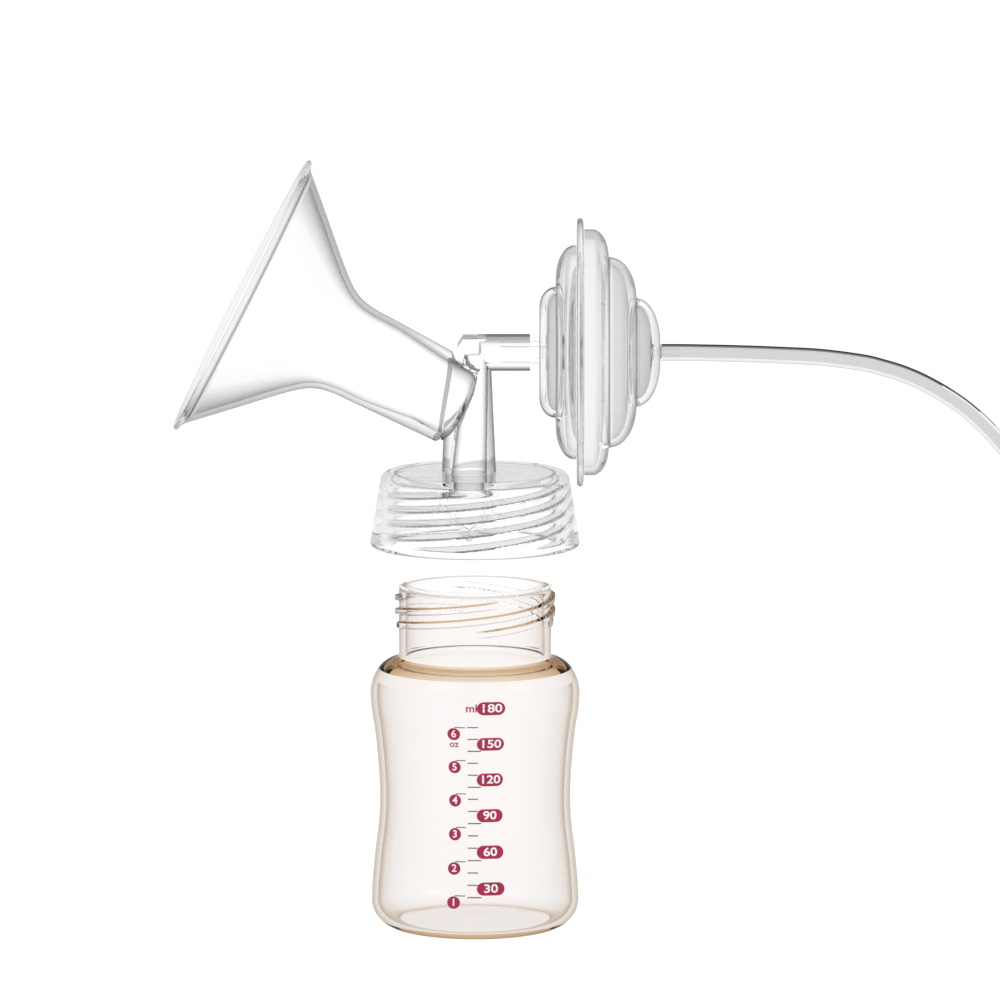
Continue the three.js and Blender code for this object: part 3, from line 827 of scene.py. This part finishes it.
def make_scale():
    """Millilitre bars, ounce discs, ticks and units."""
    marks, digits, ticks = [], [], []
    for i in range(6):
        z = SCALE["first"] + i * SCALE["spacing"]
        marks.append(pill((SCALE["pill_x"], z), SCALE["pill_width"], SCALE["pill_height"]))
        digits.append(lettering(str(30 * (i + 1)), (SCALE["pill_x"], z), 3.7, 1.22))
        z = SCALE["ounce_first"] + i * SCALE["ounce_spacing"]
        marks.append(pill((SCALE["ounce_x"], z), SCALE["ounce_width"], SCALE["ounce_width"], 14))
        digits.append(lettering(str(i + 1), (SCALE["ounce_x"], z), 3.3))
        ticks.append(bar(SCALE["ounce_x"] + 0.3, SCALE["ounce_x"] + 3.6, z + 2.2, 0.36))
    for i in range(SCALE["ticks"]):
        end = 2.0 if i % 3 == 0 else 1.0
        ticks.append(bar(-2.3, end, SCALE["tick_first"] + i * SCALE["tick_spacing"], 0.42))
    units = [
        lettering("ml", (-1.0, SCALE["first"] + 5 * SCALE["spacing"]), 3.6),
        lettering("oz", (SCALE["ounce_x"], SCALE["ounce_first"] + 5 * SCALE["ounce_spacing"] - 3.3), 3.0),
    ]
    scale = [
        ("scale_marks", gather(marks), PRINT_LIFT, CRIMSON),
        ("scale_digits", gather(digits), 2 * PRINT_LIFT, PRINT_WHITE),
        ("scale_units", gather(units), PRINT_LIFT, CRIMSON),
        ("scale_ticks", gather(ticks), PRINT_LIFT, PRINT_GREY),
    ]
    for name, (points, faces), lift, material in scale:
        on_body(wrap(name, points, faces, lift), "bottle", "scale_print", material)


make_scale()

# ---------------------------------------------------------------- pump body

TILT = math.radians(26.9)
MOUTH_TILT = math.radians(10)
SEAT = Vector((-8.6, 0, 171))
OUTWARD = Vector((-math.cos(TILT), 0, math.sin(TILT)))
UPWARD = Vector((math.sin(TILT), 0, math.cos(TILT)))
MOUTH_NORMAL = Vector((-math.cos(MOUTH_TILT), 0, math.sin(MOUTH_TILT)))
CHAMFER = Vector((-0.83, 0, 0.56)).normalized()
CUP_RADIUS = 14.1
SPIGOT_RADIUS = 12.4
PORT_RADIUS = 5.9
TUBE_X = -1.9  # the upright tube's foot and the spout
ROOF = 190.8
CAP_TOP = 147.5
CAP_BOTTOM = low_high("pump_body")[0].z
PLATE = 2.5  # the top plate's thickness
CAP_BORE = 26.5
THREAD_HEIGHT = 126.6  # a ridge of the skirt crosses +X at this height
PORT_AXIS = turn_matrix((0, 0, PORT_HEIGHT), (1, 0, 0))


def level_ring(x, radius, z, count=96):
    """Points of a level circle whose centre is at x."""
    return [
        Vector((x + radius * math.cos(2 * math.pi * i / count),
                radius * math.sin(2 * math.pi * i / count), z))
        for i in range(count)
    ]


def hull(name, *rings):
    """The convex hull of rings of points."""
    bm = bmesh.new()
    for ring in rings:
        for point in ring:
            bm.verts.new(point * MM)
    result = bmesh.ops.convex_hull(bm, input=bm.verts)
    unused = result["geom_interior"] + result["geom_unused"]
    unused = {element for element in unused if isinstance(element, bmesh.types.BMVert)}
    bmesh.ops.delete(bm, geom=list(unused), context="VERTS")
    mesh = bpy.data.meshes.new(name)
    bm.to_mesh(mesh)
    bm.free()
    piece = bpy.data.objects.new(name, mesh)
    bpy.context.scene.collection.objects.link(piece)
    return piece


def rod(name, radius, bottom, top, matrix):
    """A solid round rod to join or cut with."""
    outline = [(0, bottom), (radius, bottom), (radius, top), (0, top)]
    return turned(name, outline, matrix, closed=False, segments=96)


def make_skirt():
    """Top plate and skirt, with the four-start thread inside."""
    plate_under = CAP_TOP - PLATE
    outline = run(
        (CAP_BORE + 1.2, CAP_BOTTOM), (32.1, CAP_BOTTOM),
        arc((32.1, CAP_BOTTOM + 1.5), (1.5, 1.5), -90, 0, 6),
        arc((27.4, CAP_TOP - 3), (3, 3), 7, 90, 8),
        (26.9, CAP_TOP), (0, CAP_TOP), (0, plate_under), (CAP_BORE - 1.6, plate_under),
        arc((CAP_BORE - 1, plate_under - 1), (1, 1), 90, 0, 4),
        line((CAP_BORE, plate_under - 1.2), (CAP_BORE, CAP_BOTTOM + 1.2), 150),
    )
    first = math.radians(45)
    base = THREAD_HEIGHT + LEAD / 8 - LEAD / STARTS
    sweep = 2 * math.pi * (plate_under - 0.8 - base) / LEAD

    def in_bore(radius, height):
        level = (height < plate_under - 1.1) & (height > CAP_BOTTOM + 1.6)
        return (np.abs(radius - CAP_BORE) < 0.01) & level

    relief = thread_relief(first, base, sweep, -1.3, in_bore)
    return turned("pump_body_shell", outline, relief=relief, segments=220)


def beyond(point, normal, size=40):
    """A block on the far side of a plane whose normal lies in the XZ plane."""
    normal = Vector(normal).normalized()
    along = Vector((normal.z, 0, -normal.x))
    corners = []
    for out in (0, size):
        for a, b in ((-1, -1), (1, -1), (1, 1), (-1, 1)):
            corners.append(Vector(point) + normal * out + along * a * size + Vector((0, b * size, 0)))
    faces = [(0, 1, 2, 3), (7, 6, 5, 4), (0, 4, 5, 1), (1, 5, 6, 2), (2, 6, 7, 3), (3, 7, 4, 0)]
    piece = link("block", corners, faces, smooth=False)
    bm = bmesh.new()
    bm.from_mesh(piece.data)
    bmesh.ops.recalc_face_normals(bm, faces=bm.faces)
    bm.to_mesh(piece.data)
    bm.free()
    return piece


def make_body():
    """Skirt, tower, cup for the shield and port for the protector, hollowed in one."""
    shield_matrix = turn_matrix(SEAT, OUTWARD)
    spout_matrix = Matrix.Translation((TUBE_X, 0, 0))
    head = hull("head", level_ring(TUBE_X, 8.7, CAP_TOP - 0.5), level_ring(-2.2, 7.0, ROOF))
    bowl = run(
        (0, -6.6), (6.6, -6.6), arc((6.6, -1.4), (7.5, 5.2), -90, 0, 16), (CUP_RADIUS, 8), (0, 8),
    )
    boolean(head, turned("bowl", bowl, shield_matrix, closed=False, segments=120), "UNION")
    boolean(head, beyond(SEAT, MOUTH_NORMAL), "DIFFERENCE")
    boolean(head, beyond((-6.4, 0, 186.9), CHAMFER), "DIFFERENCE")
    body = make_skirt()
    boolean(body, rod("spout", 7.6, 139, CAP_TOP - 0.4, spout_matrix), "UNION")
    boolean(body, head, "UNION")
    boolean(body, rod("port", PORT_RADIUS, 0.9, 17.6, PORT_AXIS), "UNION")
    bore = hull("bore", level_ring(TUBE_X, 5.7, CAP_TOP - 1), level_ring(0.2, 3.5, 185.2))
    boolean(body, bore, "DIFFERENCE")
    boolean(body, rod("socket", SPIGOT_RADIUS + 0.3, -4.6, 20, shield_matrix), "DIFFERENCE")
    boolean(body, rod("spout_bore", 5.7, 138, CAP_TOP + 1, spout_matrix), "DIFFERENCE")
    boolean(body, rod("port_bore", 3.5, 0.9, 18.6, PORT_AXIS), "DIFFERENCE")
    shade_smooth(body.data)
    return body


def skirt_face(p, n):
    """All of the skirt and its top plate."""
    return p.z < CAP_TOP + 0.1 and math.hypot(p.x, p.y) > 9.5


def on_thread(p, n):
    """The crests and upper flanks of the ridges in the skirt's bore."""
    off = math.hypot(p.x, p.y)
    level = CAP_BOTTOM + 0.5 < p.z < CAP_TOP - PLATE + 0.1
    return level and CAP_BORE - 2 < off < CAP_BORE - 0.7 and p.x * n.x + p.y * n.y < 0.02 * off


def skirt_edge(p, n):
    """The skirt's lower edge and the rounded edge of its top."""
    off = math.hypot(p.x, p.y)
    return off > CAP_BORE - 3 and (p.z < CAP_BOTTOM + 1.6 or (p.z > CAP_TOP - 3 and off > 27.2))


def on_port(p, low, high):
    """The port's faces between two distances from its axis."""
    return p.x > 7 and low < math.hypot(p.y, p.z - PORT_HEIGHT) < high


def port_side(p, n):
    """The port's outside."""
    return on_port(p, PORT_RADIUS - 0.3, PORT_RADIUS + 0.3)


body = on_body(make_body(), "pump_head", "clear_body", CLEAR, "pump_body")
use_inside(body, SKIRT, skirt_face)
use_inside(body, SKIRT_EDGE, skirt_edge)
use_inside(body, THREAD, on_thread)
use_inside(body, THREAD_UNDERSIDE_SHADE, lambda p, n: on_thread(p, n) and n.z < -0.3)
use_inside(body, PORT, port_side)
use_inside(body, PORT_TOP_SHADE, lambda p, n: port_side(p, n) and n.z > 0.3)
use_inside(body, PORT_BORE, lambda p, n: on_port(p, 0, 4))
use_inside(body, CORNER_SHADE, lambda p, n: n.dot(CHAMFER) > 0.97 and p.z > 182)

# ---------------------------------------------------------------- breast shield

SHIELD_WALL = 1.8
LIP_FROM = 71.7  # along the shield's axis


def make_shield():
    """Funnel, elbow, tunnel and spigot, cut level with the body's cup."""
    flare = smooth_line([
        (14.85, 27), (15.1, 34), (16.6, 40.2), (21.2, 46.6), (32.6, 58.6), (45.0, 71.6),
    ], 8)
    funnel = run((CUP_RADIUS - 1.1, 0.35), line((CUP_RADIUS, 1.5), (14.85, 27), 6), flare[1:])
    inside = inward(funnel, SHIELD_WALL)[::-1]
    inside = inside[(inside[:, 1] > 22) & (inside[:, 1] < 72.7)]
    outline = run(
        funnel, (46.4, 72.4), (47.1, 72.65), arc((47.1, 73.5), (0.9, 0.9), -60, 100, 8),
        (46.0, 74.3), (45.0, 73.9), (44.2, 73.3), inside,
        (SPIGOT_RADIUS - 1.6, 6), (SPIGOT_RADIUS - 1.6, -3.8),
        arc((SPIGOT_RADIUS - 0.8, -3.8), (0.8, 0.5), 180, 360, 6), (SPIGOT_RADIUS, 0.35),
    )
    slope = -UPWARD.dot(MOUTH_NORMAL) / OUTWARD.dot(MOUTH_NORMAL)

    def follow_mouth(x, y, z):
        """Slants the tunnel's end to lie along the cup's mouth."""
        radius = np.hypot(x, y)
        weight = np.clip(1 - (z - 0.35) / 22, 0, 1) * (radius > SPIGOT_RADIUS - 0.01) * (z > 0.34)
        return x, y, z + slope * x * weight

    matrix = turn_matrix(SEAT, OUTWARD)
    return turned("shield_funnel", outline, matrix, warp=follow_mouth, segments=200)


def tunnel_end(p, n):
    """The tunnel's end face, where it meets the cup."""
    along = (p - SEAT).dot(MOUTH_NORMAL)
    off = (p - SEAT) - OUTWARD * (p - SEAT).dot(OUTWARD)
    return 0 < along < 1.3 and off.length > SPIGOT_RADIUS + 0.1


def lip_face(p, n):
    """The rim's lip, front and back."""
    return (p - SEAT).dot(OUTWARD) > LIP_FROM


def lip_edge(p, n):
    """The lip's back edge."""
    return lip_face(p, n) and (p - SEAT).dot(OUTWARD) < LIP_FROM + 0.6 and n.dot(OUTWARD) < 0


def flatten_lip(piece):
    """Shades the lip's narrow front faces flat, because smooth ones would trap rays."""
    for face in piece.data.polygons:
        if lip_face(face.center / MM, face.normal) and face.normal.dot(OUTWARD) > 0.5:
            face.use_smooth = False


shield = on_body(make_shield(), "shield", "clear_shield", SHIELD_CLEAR, "breast_shield")
use_inside(shield, SEAM_SHADE, tunnel_end)
use_inside(shield, LIP, lip_face)
use_inside(shield, LIP_EDGE_SHADE, lip_edge)
flatten_lip(shield)

# ---------------------------------------------------------------- duckbill valve


def make_valve():
    """A sleeve on the spout that narrows to two flat lips."""
    low, high = low_high("duckbill_valve")
    sleeve, inner, bore = 9.6, 7.9, 6.9
    bend = 136  # where it starts to narrow
    count = 96

    def ring(half_x, half_y, z):
        angles = np.linspace(0, 2 * math.pi, count, endpoint=False)
        return [(TUBE_X + half_x * math.cos(a), half_y * math.sin(a), z) for a in angles]

    def narrowed(t, start, end):
        return start + (end - start) * t ** 0.9

    rows = [ring(sleeve, sleeve, z) for z in (high.z - 0.01, high.z - 0.2, bend + 1)]
    for t in np.linspace(0, 1, 14):
        z = bend + (low.z - bend) * t
        rows.append(ring(narrowed(t, sleeve, 1.4), sleeve * (1 - 0.03 * t), z))
    rows.append(ring(0.3, sleeve - 1.4, low.z))
    for t in np.linspace(0.93, 0, 14):
        rows.append(ring(narrowed(t, bore, 0.3), bore, bend + (low.z - bend) * t))
    rows += [ring(bore, bore, 138.7), ring(inner, inner, 138.71), ring(inner, inner, high.z - 0.01)]
    points = [p for row in rows for p in row]
    return link("duckbill", points, ring_faces(len(rows), count))


on_body(make_valve(), "valve", "clear_silicone", SILICONE, "duckbill_valve")

# ---------------------------------------------------------------- backflow protector

MIDDLE_X = 33.5  # of the membrane's rim
BASE_END_X, CAP_END_X = 26.2, 51.9  # the chambers beyond these are the end ones


def make_base():
    """The two-lobed shell and its stem."""
    outside = run(
        (3.6, 20.5), arc((14.4, 25.9), (6.6, 5.4), -90, -8, 14),
        arc((22.6, 26.6), (1.6, 1.0), 180, 250, 5)[1:],
        arc((23.4, 31.6), (10.8, 5.9), -90, 0, 16), (34.2, 32.2),
    )
    inside = run(
        (32.0, 32.2), arc((23.4, 31.6), (8.5, 3.6), -4, -90, 16),
        arc((21.0, 25.7), (2.3, 2.3), 90, 180, 8), arc((14.4, 25.9), (4.3, 3.1), -4, -90, 14),
        (1.9, 22.8),
    )
    stem = [(1.9, 8), (3.0, 8), (3.2, 8.3), (3.2, 17.9), (3.6, 17.9)]
    return turned("protector_base_shell", run(outside, inside, stem), PORT_AXIS)


def make_cap():
    """The three-lobed shell and the barb that the tube goes on."""
    outside = run(
        (39.3, 34.9), arc((30.9, 37.4), (8.4, 5.3), 0, 84, 14),
        arc((31.0, 43.4), (0.6, 0.6), 250, 180, 4),
        arc((17.3, 43), (13.1, 8.6), 4, 84, 16),
        arc((17.9, 52.2), (0.6, 0.6), 250, 180, 4),
        arc((3.2, 51.8), (14, 7.4), 4, 90, 16),
    )
    inside = run(
        arc((3.2, 51.8), (11.7, 5.1), 90, 3, 16), arc((17.3, 51.7), (2.3, 2.3), 180, 270, 8),
        arc((17.3, 43.0), (10.8, 6.3), 87, 3, 16), arc((30.4, 42.9), (2.3, 2.3), 180, 270, 8),
        arc((30.9, 37.4), (6.1, 3.0), 87, 0, 14),
    )
    end = outside[-1][1]
    barb = [
        (2.4, end), (2.2, end + 0.1), (1.45, end + 0.4), (1.45, end + 3), (1.48, end + 4),
        (1.1, end + 6.2), (0.8, end + 6.2), (0.8, end - 2),
    ]
    outline = run(outside[:-1], barb, inside, (37.0, 34.9))
    return turned("protector_cap_shell", outline, PORT_AXIS)


def make_membrane():
    """One silicone disc: a clamped rim, a rolling wall and a domed crown."""
    edge = 1.05
    middle = 33.55
    front = smooth_line([
        (0, 29.0), (8, 29.1), (16, 29.5), (22, 30.2), (25.5, 31.0), (28, 32.1), (30.5, 32.5),
    ], 5)
    back = front + np.array([0, 1.3])
    back[:, 1] = np.where(front[:, 0] > 27, np.maximum(back[:, 1], 33.4), back[:, 1])
    rim = run(
        arc((42.9 - edge, middle), (edge, edge), -90, 90, 10), (31.2, 34.6), (30.6, 34.2),
    )
    outline = run(front, rim, back[::-1][1:])
    return turned("membrane_disc", outline, PORT_AXIS, closed=False)


def faces_inwards(p, n, edge):
    """The chamber's side of the protector's walls, further than edge from the membrane."""
    off = math.hypot(p.y, p.z - PORT_HEIGHT)
    towards = -(p.y * n.y + (p.z - PORT_HEIGHT) * n.z) / max(off, 1e-6)
    inwards = towards + (n.x if p.x < MIDDLE_X else -n.x)
    return inwards > 0.02 and off > 5 and abs(p.x - MIDDLE_X) > edge


def end_chamber(p, n):
    """The walls of the smallest chamber at either end."""
    return faces_inwards(p, n, 1.6) and not BASE_END_X < p.x < CAP_END_X


base = on_body(make_base(), "protector_base", "clear_protector", PROTECTOR_CLEAR, "backflow_base")
use_inside(base, PROTECTOR_CHAMBER_SHADE, lambda p, n: faces_inwards(p, n, 1.6))
use_inside(base, PROTECTOR_END_SHADE, end_chamber)
cap = on_body(make_cap(), "protector_cap", "clear_protector", PROTECTOR_CLEAR, "backflow_cap")
use_inside(cap, PROTECTOR_CHAMBER_SHADE, lambda p, n: faces_inwards(p, n, 1.8))
use_inside(cap, PROTECTOR_STEP_SHADE, lambda p, n: faces_inwards(p, n, 10.5))
use_inside(cap, PROTECTOR_END_SHADE, end_chamber)

membrane = make_membrane()
membrane.data.materials.append(MEMBRANE)
use_inside(membrane, DOME, lambda p, n: math.hypot(p.y, p.z - PORT_HEIGHT) < 31.2)
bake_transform(membrane)
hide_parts("membrane_rim", "membrane_dome")

# ---------------------------------------------------------------- stage and light


def flagged(tree, level, mirrored):
    """A light level that drops for mirrored rays, as black flags round a light table do."""
    ray = tree.nodes.new("ShaderNodeLightPath")
    choose = tree.nodes.new("ShaderNodeMapRange")
    tree.links.new(ray.outputs["Glossy Depth"], choose.inputs["Value"])
    choose.inputs["To Min"].default_value = level
    choose.inputs["To Max"].default_value = mirrored
    return choose.outputs[0]


def make_stage():
    """A white light table."""
    reach = 9000
    corners = [(-reach, -reach, 0), (reach, -reach, 0), (reach, reach, 0), (-reach, reach, 0)]
    floor = link("floor", corners, [(0, 1, 2, 3)])
    n = Nodes("floor_paper")
    greys = [(0.3, (0.06, 0.06, 0.06)), (0.7, (0.08, 0.08, 0.08))]
    n.join(n.ramp(n.noise(3), greys), n.shader.inputs["Base Color"])
    n.set(Roughness=0.9)
    n.shader.inputs["Emission Color"].default_value = (1, 1, 1, 1)
    n.join(flagged(n.tree, 1.0, 0.85), n.shader.inputs["Emission Strength"])
    floor.data.materials.append(n.material)


def make_world():
    """A tent, white at the horizon, that greys towards its top."""
    world = bpy.data.worlds.new("tent")
    world.use_nodes = True
    tree = world.node_tree
    place = tree.nodes.new("ShaderNodeTexCoord")
    split = tree.nodes.new("ShaderNodeSeparateXYZ")
    ramp = tree.nodes.new("ShaderNodeValToRGB")
    back = tree.nodes["Background"]
    stops = [(0.0, 1.0), (0.1, 0.95), (0.4, 0.7), (1.0, 0.7)]
    while len(ramp.color_ramp.elements) < len(stops):
        ramp.color_ramp.elements.new(0.5)
    for element, (position, level) in zip(ramp.color_ramp.elements, stops):
        element.position = position
        element.color = (level, level, level, 1)
    tree.links.new(place.outputs["Generated"], split.inputs[0])
    tree.links.new(split.outputs["Z"], ramp.inputs[0])
    tree.links.new(ramp.outputs[0], back.inputs["Color"])
    tree.links.new(flagged(tree, 1.0, 0.8), back.inputs["Strength"])
    bpy.context.scene.world = world


def make_light(name, place, aim, size, watts):
    """A square soft light that points at a place, in metres."""
    data = bpy.data.lights.new(name, "AREA")
    data.energy = watts
    data.size = size
    lamp = bpy.data.objects.new(name, data)
    lamp.location = place
    direction = Vector(aim) - Vector(place)
    lamp.rotation_euler = direction.to_track_quat("-Z", "Y").to_euler()
    bpy.context.scene.collection.objects.link(lamp)


make_stage()
make_world()
make_light("key", (-1.3, -1.2, 1.9), (0, 0, 0.1), 1.2, 14)
make_light("fill", (1.5, -0.9, 1.4), (0.05, 0, 0.1), 1.0, 8)
make_light("top", (0.2, 0.8, 2.2), (0.05, 0, 0.1), 1.6, 14)

scene = bpy.context.scene
scene.view_settings.view_transform = "Standard"
scene.cycles.max_bounces = 28
scene.cycles.transmission_bounces = 28
scene.cycles.glossy_bounces = 8
scene.cycles.transparent_max_bounces = 16
